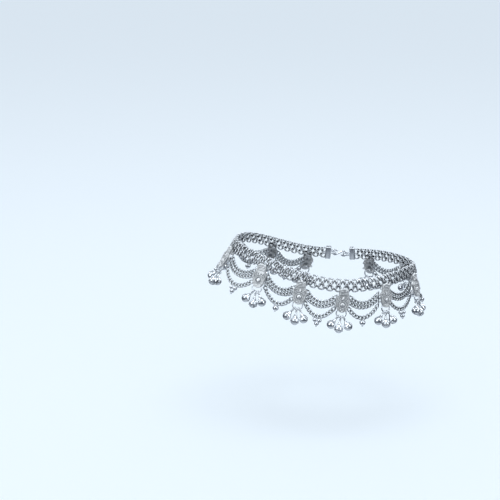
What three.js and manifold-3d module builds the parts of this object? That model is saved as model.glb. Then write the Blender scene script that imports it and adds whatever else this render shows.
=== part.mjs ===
// Payal anklet: a woven silver belt that closes round the ankle, with frosted plaques,
// swags of fine chain between them, and three small bells hanging from each plaque's hoop.
// Millimetres. +X points to the heel, -X to the instep, +Z up. The origin is the middle of
// the ankle hole, level with the middle of the belt's top edge.
import * as THREE from "three";
import { mergeVertices } from "three/addons/utils/BufferGeometryUtils.js";
import Module from "manifold-3d";

// The belt's top edge, as it lies low round an ankle.
const LOOP_HALF_LENGTH = 50.45;
const LOOP_HALF_WIDTH = 31;
const FRONT_FULLNESS = 0.4;
const BACK_SLIMNESS = 0.36;
const HEEL_WIDENING = 0.18;
const SIDE_SAG = 7.15;
const TILT_DEG = 8.1;
// How far what hangs below the belt leans out from the ankle.
const FLARE_END_DEG = 24;
const FLARE_SIDE_DEG = 13;
const LOOP_SAMPLES = 2000;

const BELT_HEIGHT = 7.4;
const BELT_THICKNESS = 1.8;
const BELT_STEPS = 60;

const MOTIFS = 11;
const FIRST_MOTIF_AT = 7.5;
const MOTIF_PITCH = 22.6;
const CLASP_BAY = 8;

const PLAQUE = {
  back: 1.3,
  thickness: 1.2,
  top: 6,
  bottom: 18.1,
  neckBottom: 8.8,
  shoulderBottom: 10.6,
  flankBottom: 14.2,
  halfNeck: 2.6,
  halfWidth: 3.7,
};
const CROWN = { radius: 0.85, spacing: 1.7, drop: 5.9, lift: 0.3 };
const FOOT_GRANULE = { radius: 0.8, spacing: 1, drop: 17.5, lift: 0.4 };
const BOSS = { radius: 1.9, height: 0.8, drop: 13.9 };
const RIB = { width: 4.4, height: 0.55, proud: 0.3, first: 7.2, spacing: 0.9, count: 2 };

const HOOP = { radius: 2.7, wire: 0.35, drop: 18.3, out: 1.25 };
const BELL = { radius: 2.25, neckRadius: 0.45, ringRadius: 0.95, ringWire: 0.3 };
const SIDE_BELL = { across: 4.7, drop: 25.2 };
const MIDDLE_BELL = { across: 0, drop: 27.1 };
const BELL_STEPS = 4;
const BELL_SWING_DEG = { across: 1.5, out: 4 };

const CHAIN_OUT = -0.1;
const CHAIN_HALF_DEPTH = 0.75;
const UPPER_CHAIN = { halfHeight: 2.25, inset: 2.6, endDrop: 10.2, midDrop: 14.9, steps: 6 };
const LOWER_CHAIN = { halfHeight: 1.25, inset: 3.3, endDrop: 15.6, midDrop: 21.7, steps: 8 };
const END_BAR = { inset: 3.3, width: 1.2, top: 10.2, bottom: 16.2 };
const TREFOIL = { radius: 1.3, across: 1.1, upper: 2, lower: 3.8 };
const BALL = { radius: 1.6, drop: 2.5 };

const END_CAP = { start: 5.4, length: 3, overhang: 0.2, thickness: 2.6 };
const EYE = { centre: 4.2, radius: 1.6, wire: 0.5 };
const HOOK = { wire: 0.55, bight: 1.6, tipDeg: -50, steps: 26 };

const SILVER = { color: 0xc9d2da, roughness: 0.18, metalness: 1 };
const FROSTED_SILVER = { color: 0xb9c3cc, roughness: 0.5, metalness: 1 };

const wasm = await Module();
wasm.setup();

// The belt's top edge: u runs from the instep (0) along the near side to the heel (0.5)
// and back along the far side.
class LoopCurve extends THREE.Curve {
  getPoint(u, target = new THREE.Vector3()) {
    const angle = u * 2 * Math.PI;
    const along = -Math.cos(angle);
    const side = Math.sin(angle);
    const slim = THREE.MathUtils.lerp(-FRONT_FULLNESS, BACK_SLIMNESS, (1 + along) / 2);
    const bulge = (1 - slim) * side + slim * side ** 3;
    return target.set(
      LOOP_HALF_LENGTH * along,
      -LOOP_HALF_WIDTH * bulge * (1 + HEEL_WIDENING * along),
      -SIDE_SAG * side ** 4,
    );
  }
}

const loop = new LoopCurve();
loop.arcLengthDivisions = LOOP_SAMPLES;
const loopLength = loop.getLength();
const claspBay = loopLength - (MOTIFS - 1) * MOTIF_PITCH;

// The directions at a place on the belt, by the distance walked along its top edge:
// along the belt, level across it, up the hanging work, and out from the ankle.
function frameAt(distance) {
  const share = THREE.MathUtils.euclideanModulo(distance / loopLength, 1);
  const place = loop.getPointAt(share);
  const along = loop.getTangentAt(share);
  const angle = loop.getUtoTmapping(share) * 2 * Math.PI;
  const level = new THREE.Vector3(along.x, along.y, 0).normalize();
  const outward = new THREE.Vector3(level.y, -level.x, 0);
  const flareDeg = THREE.MathUtils.lerp(FLARE_SIDE_DEG, FLARE_END_DEG, Math.cos(angle) ** 2);
  const flare = THREE.MathUtils.degToRad(flareDeg);
  const up = new THREE.Vector3(0, 0, Math.cos(flare)).addScaledVector(outward, -Math.sin(flare));
  const out = new THREE.Vector3(0, 0, Math.sin(flare)).addScaledVector(outward, Math.cos(flare));
  return { place, along, level, up, out };
}

// A rigid piece made at the origin (x across, y up, z out) is set on the belt at a distance.
function matrixAt(distance) {
  const { place, level, up, out } = frameAt(distance);
  return new THREE.Matrix4().makeBasis(level, up, out).setPosition(place);
}

// A piece made straight, with x as the distance along the belt, is bent round the ankle.
// On the belt itself, up stays square to the belt's own slope.
function bend(geometry, squareToBelt = false) {
  const positions = geometry.getAttribute("position");
  const point = new THREE.Vector3();
  for (let i = 0; i < positions.count; i += 1) {
    const frame = frameAt(positions.getX(i));
    const up = frame.up.clone();
    if (squareToBelt) {
      up.addScaledVector(frame.along, -up.dot(frame.along)).normalize();
    }
    point.copy(frame.place);
    point.addScaledVector(up, positions.getY(i));
    point.addScaledVector(frame.out, positions.getZ(i));
    positions.setXYZ(i, point.x, point.y, point.z);
  }
  return geometry;
}

function solid(geometry) {
  const bare = geometry.clone();
  bare.deleteAttribute("normal");
  bare.deleteAttribute("uv");
  const merged = mergeVertices(bare, 1e-4);
  return new wasm.Manifold(
    new wasm.Mesh({
      numProp: 3,
      vertProperties: merged.getAttribute("position").array,
      triVerts: new Uint32Array(merged.index.array),
    }),
  );
}

function joined(geometries) {
  const whole = geometries.map(solid).reduce((sum, next) => sum.add(next));
  const mesh = whole.getMesh();
  const result = new THREE.BufferGeometry();
  result.setAttribute("position", new THREE.BufferAttribute(mesh.vertProperties, 3));
  result.setIndex(new THREE.BufferAttribute(mesh.triVerts, 1));
  result.computeVertexNormals();
  return result;
}

function ball(radius, x, y, z) {
  return new THREE.SphereGeometry(radius, 6, 4).translate(x, y, z);
}

// A rounded bar, flat towards the ankle, that follows a curve.
function chainTube(curve, halfHeight, steps) {
  const section = new THREE.Shape().absellipse(0, 0, CHAIN_HALF_DEPTH, halfHeight, 0, 2 * Math.PI);
  return new THREE.ExtrudeGeometry(section, { extrudePath: curve, steps, curveSegments: 4 });
}

function metal(settings) {
  return new THREE.MeshStandardMaterial(settings);
}

function named(name, geometry, material) {
  const mesh = new THREE.Mesh(geometry, material);
  mesh.name = name;
  return mesh;
}

function label(number) {
  return String(number).padStart(2, "0");
}

// The motifs are evenly spaced, apart from the longer bay that holds the clasp.
function motifAt(number) {
  const beyondClasp = number > CLASP_BAY ? claspBay - MOTIF_PITCH : 0;
  return FIRST_MOTIF_AT + (number - 1) * MOTIF_PITCH + beyondClasp;
}

// Belt

function beltBar(start, length, height, thickness, steps) {
  const bar = new THREE.BoxGeometry(length, height, thickness, steps, 1, 1);
  return bend(bar.translate(start + length / 2, -BELT_HEIGHT / 2, 0), true);
}

function endCap(claspAt, side) {
  const height = BELT_HEIGHT + 2 * END_CAP.overhang;
  const start = side > 0 ? END_CAP.start : -END_CAP.start - END_CAP.length;
  return beltBar(claspAt + start, END_CAP.length, height, END_CAP.thickness, 2);
}

function eyeRing(claspAt, side) {
  const ring = new THREE.TorusGeometry(EYE.radius, EYE.wire, 6, 12).rotateX(Math.PI / 2);
  ring.translate(side * EYE.centre, -BELT_HEIGHT / 2, 0);
  return ring.applyMatrix4(matrixAt(claspAt));
}

function makeBelt(claspAt) {
  const gap = END_CAP.start + END_CAP.length / 2;
  const woven = beltBar(
    claspAt + gap,
    loopLength - 2 * gap,
    BELT_HEIGHT,
    BELT_THICKNESS,
    BELT_STEPS,
  );
  const ends = [1, -1].flatMap((side) => [endCap(claspAt, side), eyeRing(claspAt, side)]);
  return named("belt", joined([woven, ...ends]), metal(SILVER));
}

// Clasp: an S of round wire, flat against the ankle, each bight round one eye's rim.

class HookCurve extends THREE.CurvePath {
  constructor(bightCentre) {
    super();
    const tip = THREE.MathUtils.degToRad(HOOK.tipDeg);
    const leave = Math.acos(HOOK.bight / bightCentre);
    const leftTurn = this.bight(-bightCentre, tip, leave - 2 * Math.PI);
    const rightTurn = this.bight(bightCentre, leave - Math.PI, tip + Math.PI);
    const crossing = new THREE.LineCurve3(leftTurn.getPoint(1), rightTurn.getPoint(0));
    this.add(leftTurn);
    this.add(crossing);
    this.add(rightTurn);
  }

  bight(centre, from, to) {
    const arc = new THREE.Curve();
    arc.getPoint = (share, target = new THREE.Vector3()) => {
      const angle = THREE.MathUtils.lerp(from, to, share);
      const x = centre + HOOK.bight * Math.cos(angle);
      return target.set(x, HOOK.bight * Math.sin(angle), 0);
    };
    return arc;
  }
}

function makeClaspHook(claspAt) {
  const section = new THREE.Shape().absarc(0, 0, HOOK.wire, 0, 2 * Math.PI);
  const path = new HookCurve(EYE.centre - EYE.radius);
  const hook = new THREE.ExtrudeGeometry(section, {
    extrudePath: path,
    steps: HOOK.steps,
    curveSegments: 4,
  });
  hook.translate(0, -BELT_HEIGHT / 2, 0).applyMatrix4(matrixAt(claspAt));
  return named("clasp_hook", hook, metal(SILVER));
}

// Plaque with its hoop

function plaqueOutline() {
  const { top, bottom, neckBottom, shoulderBottom, flankBottom, halfNeck, halfWidth } = PLAQUE;
  const outline = new THREE.Shape();
  outline.moveTo(-halfNeck, -top);
  outline.lineTo(-halfNeck, -neckBottom);
  outline.quadraticCurveTo(-halfWidth, -neckBottom, -halfWidth, -shoulderBottom);
  outline.lineTo(-halfWidth, -flankBottom);
  outline.bezierCurveTo(-halfWidth, -bottom + 1, -halfWidth / 2, -bottom, 0, -bottom);
  outline.bezierCurveTo(halfWidth / 2, -bottom, halfWidth, -bottom + 1, halfWidth, -flankBottom);
  outline.lineTo(halfWidth, -shoulderBottom);
  outline.quadraticCurveTo(halfWidth, -neckBottom, halfNeck, -neckBottom);
  outline.lineTo(halfNeck, -top);
  outline.closePath();
  return outline;
}

function plaqueBody() {
  const settings = { depth: PLAQUE.thickness, bevelEnabled: false, curveSegments: 3 };
  return new THREE.ExtrudeGeometry(plaqueOutline(), settings).translate(0, 0, PLAQUE.back);
}

function plaqueRib(index) {
  const depth = PLAQUE.thickness / 2 + RIB.proud;
  const rib = new THREE.BoxGeometry(RIB.width, RIB.height, depth);
  const front = PLAQUE.back + PLAQUE.thickness + RIB.proud;
  return rib.translate(0, -RIB.first - index * RIB.spacing, front - depth / 2);
}

function plaqueBoss() {
  const front = PLAQUE.back + PLAQUE.thickness;
  const profile = [
    new THREE.Vector2(0, -PLAQUE.thickness / 2),
    new THREE.Vector2(BOSS.radius, -PLAQUE.thickness / 2),
    new THREE.Vector2(BOSS.radius, BOSS.height / 4),
    new THREE.Vector2(0, BOSS.height),
  ];
  return new THREE.LatheGeometry(profile, 8).rotateX(Math.PI / 2).translate(0, -BOSS.drop, front);
}

function granules(row, places) {
  const level = PLAQUE.back + PLAQUE.thickness / 2 + row.lift;
  return places.map(([x, y]) => ball(row.radius, x * row.spacing, -row.drop + y * row.spacing, level));
}

function plaqueHoop() {
  return new THREE.TorusGeometry(HOOP.radius, HOOP.wire, 4, 12).translate(0, -HOOP.drop, HOOP.out);
}

function makePlaque(number) {
  const crown = granules(CROWN, [[-1, -0.2], [0, 0.2], [1, -0.2]]);
  const foot = granules(FOOT_GRANULE, [[0, 0]]);
  const ribs = Array.from({ length: RIB.count }, (_, index) => plaqueRib(index));
  const pieces = [plaqueBody(), ...ribs, plaqueBoss(), ...crown, ...foot, plaqueHoop()];
  const geometry = joined(pieces).applyMatrix4(matrixAt(motifAt(number)));
  return named(`plaque_${label(number)}`, geometry, metal(FROSTED_SILVER));
}

// Bells: each hangs from its plaque's hoop, straight out from the hoop's centre.

function bellBody(neckTop) {
  const { radius, neckRadius } = BELL;
  const profile = [];
  for (let step = 0; step <= BELL_STEPS; step += 1) {
    const angle = THREE.MathUtils.lerp(-Math.PI / 2, Math.PI / 5, step / BELL_STEPS);
    profile.push(new THREE.Vector2(radius * Math.cos(angle), radius * Math.sin(angle)));
  }
  profile[0].x = 0;
  profile.push(new THREE.Vector2(neckRadius, neckTop));
  profile.push(new THREE.Vector2(0, neckTop));
  return new THREE.LatheGeometry(profile, 8);
}

// Small, steady differences in how the bells have come to rest.
function swing(number, slot, axis) {
  return Math.sin(number * 2.4 + slot * 1.7 + axis * 2.1);
}

function makeBell(number, slot, seat, name) {
  const reach = Math.hypot(seat.across, seat.drop - HOOP.drop);
  const lean = Math.atan2(seat.across, seat.drop - HOOP.drop);
  const ringUp = reach - HOOP.radius;
  const ring = new THREE.TorusGeometry(BELL.ringRadius, BELL.ringWire, 4, 8);
  ring.rotateY(Math.PI / 2).translate(0, ringUp, 0);
  const neckTop = ringUp - BELL.ringRadius;
  const bell = joined([bellBody(neckTop), ring]);
  const across = THREE.MathUtils.degToRad(BELL_SWING_DEG.across * swing(number, slot, 0));
  const out = THREE.MathUtils.degToRad(BELL_SWING_DEG.out * swing(number, slot, 1));
  bell.translate(0, -ringUp, 0).rotateX(out).rotateZ(across);
  bell.translate(0, -HOOP.radius, 0).rotateZ(lean);
  bell.translate(0, -HOOP.drop, HOOP.out).applyMatrix4(matrixAt(motifAt(number)));
  return named(`bell_${label(number)}_${name}`, bell, metal(SILVER));
}

function makeBells(number) {
  return [
    makeBell(number, 0, { ...SIDE_BELL, across: -SIDE_BELL.across }, "left"),
    makeBell(number, 1, MIDDLE_BELL, "middle"),
    makeBell(number, 2, SIDE_BELL, "right"),
  ];
}

// Swags

class SwagCurve extends THREE.Curve {
  constructor(chain, start) {
    super();
    this.chain = chain;
    this.start = start;
  }

  getPoint(share, target = new THREE.Vector3()) {
    const { inset, endDrop, midDrop } = this.chain;
    const across = THREE.MathUtils.lerp(inset, MOTIF_PITCH - inset, share);
    const hang = 1 - (2 * share - 1) ** 2;
    return target.set(this.start + across, -endDrop - (midDrop - endDrop) * hang, CHAIN_OUT);
  }
}

function hangingChain(chain, start) {
  return chainTube(new SwagCurve(chain, start), chain.halfHeight, chain.steps);
}

function endBar(start, inset) {
  const height = END_BAR.bottom - END_BAR.top;
  const bar = new THREE.BoxGeometry(END_BAR.width, height, CHAIN_HALF_DEPTH);
  return bar.translate(start + inset, -(END_BAR.top + END_BAR.bottom) / 2, CHAIN_OUT);
}

function trefoil(x, chainDrop) {
  const upper = -chainDrop - TREFOIL.upper;
  return [
    ball(TREFOIL.radius, x - TREFOIL.across, upper, CHAIN_OUT),
    ball(TREFOIL.radius, x + TREFOIL.across, upper, CHAIN_OUT),
    ball(TREFOIL.radius, x, -chainDrop - TREFOIL.lower, CHAIN_OUT),
  ];
}

function singleBall(x, chainDrop) {
  return [ball(BALL.radius, x, -chainDrop - BALL.drop, CHAIN_OUT)];
}

function makeSwag(number) {
  const start = motifAt(number);
  const middle = start + MOTIF_PITCH / 2;
  const drop = number % 2 === 1 ? trefoil : singleBall;
  const pieces = [
    hangingChain(UPPER_CHAIN, start),
    hangingChain(LOWER_CHAIN, start),
    endBar(start, END_BAR.inset),
    endBar(start, MOTIF_PITCH - END_BAR.inset),
    ...drop(middle, LOWER_CHAIN.midDrop),
  ];
  const bent = pieces.map((piece) => bend(piece));
  return named(`swag_${label(number)}`, joined(bent), metal(SILVER));
}

// The whole anklet, tilted as it lies: high on the instep and low behind the heel.

const claspAt = motifAt(CLASP_BAY) + claspBay / 2;
const anklet = new THREE.Group();
anklet.add(makeBelt(claspAt), makeClaspHook(claspAt));
for (let number = 1; number <= MOTIFS; number += 1) {
  anklet.add(makePlaque(number), ...makeBells(number));
  if (number !== CLASP_BAY) {
    anklet.add(makeSwag(number));
  }
}
anklet.rotation.y = THREE.MathUtils.degToRad(TILT_DEG);

export default anklet;
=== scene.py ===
"""Payal anklet: the looks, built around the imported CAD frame.

Shapes are worked out in millimetres in the loop's own frame (the belt's top edge, before it is
tilted), and world() turns them into the row frame in metres.
"""

import math

import bmesh
import bpy
import numpy as np
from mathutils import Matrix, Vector

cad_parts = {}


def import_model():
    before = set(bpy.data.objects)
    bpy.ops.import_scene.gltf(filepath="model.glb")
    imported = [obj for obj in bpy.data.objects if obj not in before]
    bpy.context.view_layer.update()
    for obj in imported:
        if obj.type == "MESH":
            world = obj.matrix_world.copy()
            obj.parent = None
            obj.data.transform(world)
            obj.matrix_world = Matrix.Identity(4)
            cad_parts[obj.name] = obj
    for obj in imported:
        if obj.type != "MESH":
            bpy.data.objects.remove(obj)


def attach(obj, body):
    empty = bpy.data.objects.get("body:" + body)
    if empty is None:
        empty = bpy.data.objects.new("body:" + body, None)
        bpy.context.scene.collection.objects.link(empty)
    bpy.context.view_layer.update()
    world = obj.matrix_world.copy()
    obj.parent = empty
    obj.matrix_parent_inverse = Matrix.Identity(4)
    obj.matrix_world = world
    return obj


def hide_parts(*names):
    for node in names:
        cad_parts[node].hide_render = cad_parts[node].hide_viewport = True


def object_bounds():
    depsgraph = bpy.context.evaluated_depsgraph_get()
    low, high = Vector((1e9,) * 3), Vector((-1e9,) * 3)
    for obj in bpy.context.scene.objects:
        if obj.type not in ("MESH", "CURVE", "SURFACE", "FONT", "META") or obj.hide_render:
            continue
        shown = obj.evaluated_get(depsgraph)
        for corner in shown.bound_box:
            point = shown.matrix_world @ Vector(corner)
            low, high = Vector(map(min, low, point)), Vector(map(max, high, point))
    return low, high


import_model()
cad_low, cad_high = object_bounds()

MM = 0.001
TAU = 2 * math.pi

# The belt's top edge, as the CAD model has it.
LOOP_HALF_LENGTH = 50.45
LOOP_HALF_WIDTH = 31.0
FRONT_FULLNESS = 0.4
BACK_SLIMNESS = 0.36
HEEL_WIDENING = 0.18
SIDE_SAG = 7.15
TILT = math.radians(8.1)
LOOP_SAMPLES = 4000
TANGENT_STEP = 1e-4

# How far the hanging work leans out from the ankle, at the loop's two ends and at its sides.
FLARE_END_DEG = 24.0
FLARE_SIDE_DEG = 13.0

BELT_HEIGHT = 7.4
MOTIFS = 11
FIRST_MOTIF_AT = 7.5
PITCH = 22.6
CLASP_BAY = 8


# ---------------------------------------------------------------- the loop

def unit(vectors):
    return vectors / np.linalg.norm(vectors, axis=-1, keepdims=True)


def loop_points(angle):
    """Points of the belt's top edge; the angle starts at the instep and passes the near side."""
    along = -np.cos(angle)
    side = np.sin(angle)
    slim = -FRONT_FULLNESS + (BACK_SLIMNESS + FRONT_FULLNESS) * (1 + along) / 2
    bulge = (1 - slim) * side + slim * side**3
    x = LOOP_HALF_LENGTH * along
    y = -LOOP_HALF_WIDTH * bulge * (1 + HEEL_WIDENING * along)
    return np.stack([x, y, -SIDE_SAG * side**4], axis=-1)


def measured_loop():
    """Angles round the belt's top edge, and the distance walked along it to each."""
    angles = np.linspace(0, TAU, LOOP_SAMPLES + 1)
    steps = np.linalg.norm(np.diff(loop_points(angles), axis=0), axis=1)
    return angles, np.concatenate([[0], np.cumsum(steps)])


LOOP_ANGLES, LOOP_DISTANCES = measured_loop()
LOOP_LENGTH = LOOP_DISTANCES[-1]
CLASP_BAY_LENGTH = LOOP_LENGTH - (MOTIFS - 1) * PITCH


def frames_at(distance):
    """Places on the belt and their directions: along, level, up the hanging work, and out."""
    distance = np.asarray(distance, float)
    angle = np.interp(distance % LOOP_LENGTH, LOOP_DISTANCES, LOOP_ANGLES)
    along = unit(loop_points(angle + TANGENT_STEP) - loop_points(angle - TANGENT_STEP))
    level = unit(along * [1, 1, 0])
    outward = np.stack([level[..., 1], -level[..., 0], np.zeros_like(angle)], axis=-1)
    share = np.cos(angle) ** 2
    flare = np.radians(FLARE_SIDE_DEG + (FLARE_END_DEG - FLARE_SIDE_DEG) * share)[..., None]
    up = np.array([0, 0, 1]) * np.cos(flare) - outward * np.sin(flare)
    out = np.array([0, 0, 1]) * np.sin(flare) + outward * np.cos(flare)
    return loop_points(angle), along, level, up, out


def world(points):
    """Loop frame in millimetres to row frame in metres: the loop lies high on the instep."""
    x, y, z = points[..., 0], points[..., 1], points[..., 2]
    tilted_x = x * math.cos(TILT) + z * math.sin(TILT)
    tilted_z = z * math.cos(TILT) - x * math.sin(TILT)
    return np.stack([tilted_x, y, tilted_z], axis=-1) * MM


def on_surface(distance, height, out):
    """Points of the hanging work's surface: distance round the belt, height, and outwards."""
    place, _, _, up, outward = frames_at(distance)
    return place + up * np.asarray(height)[..., None] + outward * out


def motif_at(number):
    """Distance round the belt to a motif; the bay after number 8 is longer, for the clasp."""
    beyond_clasp = CLASP_BAY_LENGTH - PITCH if number > CLASP_BAY else 0
    return FIRST_MOTIF_AT + (number - 1) * PITCH + beyond_clasp


def set_at(distance, points):
    """A rigid shape (x across, y up, z out) set on the belt."""
    place, _, level, up, out = frames_at(distance)
    return place + points[:, :1] * level + points[:, 1:2] * up + points[:, 2:] * out


# ---------------------------------------------------------------- mesh arrays

# Neighbours further off than the reach don't bury a point, and the nearest count alike.
BURIED_REACH = 2.6
BURIED_NEAR = 0.35
BURIED_PERCENTILE = 90
# The radius of each step of a wire's domed end, as a share of the wire's own radius.
DOME_STEPS = np.array([0.0, 0.35, 0.7, 0.92])
# The order of x, y and z that turns a ring about z into a ring about the named axis.
RING_ORDERS = {"x": [2, 0, 1], "y": [1, 2, 0], "z": [0, 1, 2]}


class Shape:
    """Points, faces and a value of painted crevice shade for each point, gathered for one mesh."""

    def __init__(self):
        self.points = []
        self.faces = []
        self.crevice_shade = []
        self.count = 0

    def add(self, points, faces, crevice_shade=0.0):
        self.points.append(points)
        self.faces.extend(f + self.count for f in faces)
        self.crevice_shade.append(np.broadcast_to(crevice_shade, len(points)))
        self.count += len(points)
        return self

    def merged(self):
        return np.concatenate(self.points), self.faces, np.concatenate(self.crevice_shade)


def grid_faces(rows, columns, wrap_rows=False, wrap_columns=True):
    """Quads of a grid of points, row after row, which may close on itself either way."""
    last_row = rows if wrap_rows else rows - 1
    last_column = columns if wrap_columns else columns - 1
    row, column = np.meshgrid(np.arange(last_row), np.arange(last_column), indexing="ij")
    row, column = row.ravel(), column.ravel()
    next_row, next_column = (row + 1) % rows, (column + 1) % columns
    corners = [
        row * columns + column,
        row * columns + next_column,
        next_row * columns + next_column,
        next_row * columns + column,
    ]
    return np.stack(corners, axis=1)


def lathe(profile, segments):
    """A body turned about Y. The profile (radius, height) runs upwards; ends on the axis close."""
    profile = np.asarray(profile, float)
    turn = np.arange(segments) / segments * TAU
    inner = profile[1:-1]
    ring = np.stack([np.cos(turn), np.zeros(segments), np.sin(turn)], axis=1)
    points = inner[:, None, :1] * ring + inner[:, None, 1:] * np.array([0, 1, 0])
    points = points.reshape(-1, 3)
    bottom, top = len(points), len(points) + 1
    ends = np.array([[0, profile[0, 1], 0], [0, profile[-1, 1], 0]])
    around = np.arange(segments)
    following = (around + 1) % segments
    last = (len(inner) - 1) * segments
    low_cap = np.stack([np.full(segments, bottom), following, around], axis=1)
    high_cap = np.stack([np.full(segments, top), last + around, last + following], axis=1)
    faces = [grid_faces(len(inner), segments)[:, ::-1], low_cap[:, ::-1], high_cap[:, ::-1]]
    return np.concatenate([points, ends]), faces


def ball(radius, centre, segments, rows):
    angle = np.linspace(-math.pi / 2, math.pi / 2, rows + 1)
    profile = np.stack([radius * np.cos(angle), radius * np.sin(angle)], axis=1)
    points, faces = lathe(profile, segments)
    return points + np.array(centre, float), faces


def wire_frames(path, normal, closed):
    """The two directions across a wire at each point of its path."""
    ahead = np.roll(path, -1, axis=0) - np.roll(path, 1, axis=0)
    if not closed:
        ahead[0] = path[1] - path[0]
        ahead[-1] = path[-1] - path[-2]
    ahead = unit(ahead)
    side = unit(np.cross(ahead, np.array(normal, float)))
    return side, np.cross(side, ahead)


def closed_wire(path, radius, sides, normal=(0, 0, 1), width=None):
    """A wire along a closed path whose plane is roughly square to normal; width flattens it."""
    side, rise = wire_frames(path, normal, closed=True)
    turn = np.arange(sides) / sides * TAU
    across = side[:, None] * np.cos(turn)[:, None] * (width or radius)
    points = path[:, None] + across + rise[:, None] * np.sin(turn)[:, None] * radius
    return points.reshape(-1, 3), [grid_faces(len(path), sides, wrap_rows=True)]


def open_wire(path, radius, sides, normal=(0, 0, 1)):
    """A round wire along an open path, with domed ends."""
    reach = np.sqrt(1 - DOME_STEPS**2)
    first, last = unit(path[0] - path[1]), unit(path[-1] - path[-2])
    start = path[0] + first * radius * reach[:, None]
    end = path[-1] + last * radius * reach[::-1, None]
    line = np.concatenate([start, path, end])
    size = radius * np.concatenate([DOME_STEPS, np.ones(len(path)), DOME_STEPS[::-1]])
    side, rise = wire_frames(line, normal, closed=False)
    turn = np.arange(sides) / sides * TAU
    around = side[:, None] * np.cos(turn)[:, None] + rise[:, None] * np.sin(turn)[:, None]
    points = line[:, None] + size[:, None, None] * around
    return points.reshape(-1, 3), [grid_faces(len(line), sides)]


def torus(radius, wire, steps, sides, axis):
    """A ring about one of the axes x, y or z."""
    turn = np.arange(steps) / steps * TAU
    ring = np.stack([np.cos(turn), np.sin(turn), np.zeros(steps)], axis=1) * radius
    order = RING_ORDERS[axis]
    return closed_wire(ring[:, order], wire, sides, np.array([0, 0, 1])[order])


# An occlusion estimate, which the silver paints as shade in crevices.
def buried(path, points, sides, neighbours):
    """How deep each point of a wire lies among its neighbours: 0 in the open, 1 shut in."""
    normals = unit(points - np.repeat(path, sides, axis=0))
    offset = np.concatenate(neighbours)[None] - points[:, None]
    gap = np.linalg.norm(offset, axis=2)
    above = np.clip(np.sum(offset * normals[:, None], axis=2) / np.maximum(gap, 1e-6), 0, 1)
    weight = np.where(gap < BURIED_REACH, above / np.maximum(gap, BURIED_NEAR) ** 2, 0)
    total = weight.sum(axis=1)
    return np.clip(total / np.percentile(total, BURIED_PERCENTILE), 0, 1)


def rotated(points, axis, angle):
    """Points turned about x, y or z through the origin."""
    first, second = {"x": (1, 2), "y": (2, 0), "z": (0, 1)}[axis]
    turned = points.copy()
    cos, sin = math.cos(angle), math.sin(angle)
    turned[:, first] = points[:, first] * cos - points[:, second] * sin
    turned[:, second] = points[:, first] * sin + points[:, second] * cos
    return turned


def make_piece(name, shape, material, slot, *nodes):
    """One Blender object from a Shape in the loop frame, riding on the anklet's only body."""
    points, faces, crevice_shade = shape.merged()
    mesh = bpy.data.meshes.new(name)
    sizes = np.concatenate([np.full(len(f), f.shape[1]) for f in faces])
    corners = np.concatenate([f.ravel() for f in faces])
    starts = np.concatenate([[0], np.cumsum(sizes)[:-1]])
    mesh.vertices.add(len(points))
    mesh.vertices.foreach_set("co", world(points).astype(np.float32).ravel())
    mesh.loops.add(len(corners))
    mesh.loops.foreach_set("vertex_index", corners.astype(np.int32))
    mesh.polygons.add(len(sizes))
    mesh.polygons.foreach_set("loop_start", starts.astype(np.int32))
    mesh.update(calc_edges=True)
    mesh.shade_smooth()
    # Painted crevice shade for each point, which darkens the silver's colour.
    values = mesh.attributes.new("crevice_shade", "FLOAT", "POINT")
    values.data.foreach_set("value", crevice_shade.astype(np.float32))
    mesh.materials.append(material)
    piece = bpy.data.objects.new(name, mesh)
    bpy.context.scene.collection.objects.link(piece)
    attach(piece, "root")
    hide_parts(*nodes)


# ---------------------------------------------------------------- materials

# How strongly the tarnish adds to the painted crevice shade, and the fine scratches to the
# dullness.
TARNISH_WEIGHT = 0.5
SCRATCH_WEIGHT = 0.35
# Patches of tarnish are coarser than the grain: their noise has this share of its scale.
TARNISH_SCALE = 0.12
# Depths at which the silver is still bright, half shaded, and dark, in painted crevice shade mixed
# with random tarnish.
BRIGHT_DEPTH, HALF_SHADE_DEPTH, DARK_DEPTH = 0.36, 0.66, 0.98
# Brightness of the half painted shade, as a share of the bright colour.
HALF_SHADE_BRIGHTNESS = 0.6
SMOOTH_DEPTH, ROUGH_DEPTH = 0.3, 1.0
GRAIN_DEPTH = 0.05 * MM


def new_material(name):
    material = bpy.data.materials.new(name)
    material.use_nodes = True
    tree = material.node_tree
    tree.nodes.clear()
    output = tree.nodes.new("ShaderNodeOutputMaterial")
    shader = tree.nodes.new("ShaderNodeBsdfPrincipled")
    shader.inputs["Metallic"].default_value = 1.0
    tree.links.new(shader.outputs["BSDF"], output.inputs["Surface"])
    return material, tree, shader


def noise(tree, scale, detail):
    place = tree.nodes.new("ShaderNodeTexCoord")
    texture = tree.nodes.new("ShaderNodeTexNoise")
    texture.inputs["Scale"].default_value = scale
    texture.inputs["Detail"].default_value = detail
    tree.links.new(place.outputs["Object"], texture.inputs["Vector"])
    return texture.outputs["Fac"]


def ramp(tree, value, stops):
    """A colour for each value, from stops of a position and a colour."""
    node = tree.nodes.new("ShaderNodeValToRGB")
    elements = node.color_ramp.elements
    while len(elements) < len(stops):
        elements.new(0.5)
    for element, (position, colour) in zip(elements, stops):
        element.position = position
        element.color = (*colour, 1)
    tree.links.new(value, node.inputs["Fac"])
    return node.outputs["Color"]


def grey(value):
    return (value, value, value)


def add_weighted(tree, first, second, weight):
    """The first value, and the second one times a weight."""
    node = tree.nodes.new("ShaderNodeMath")
    node.operation = "MULTIPLY_ADD"
    tree.links.new(second, node.inputs[0])
    node.inputs[1].default_value = weight
    tree.links.new(first, node.inputs[2])
    return node.outputs["Value"]


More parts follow.
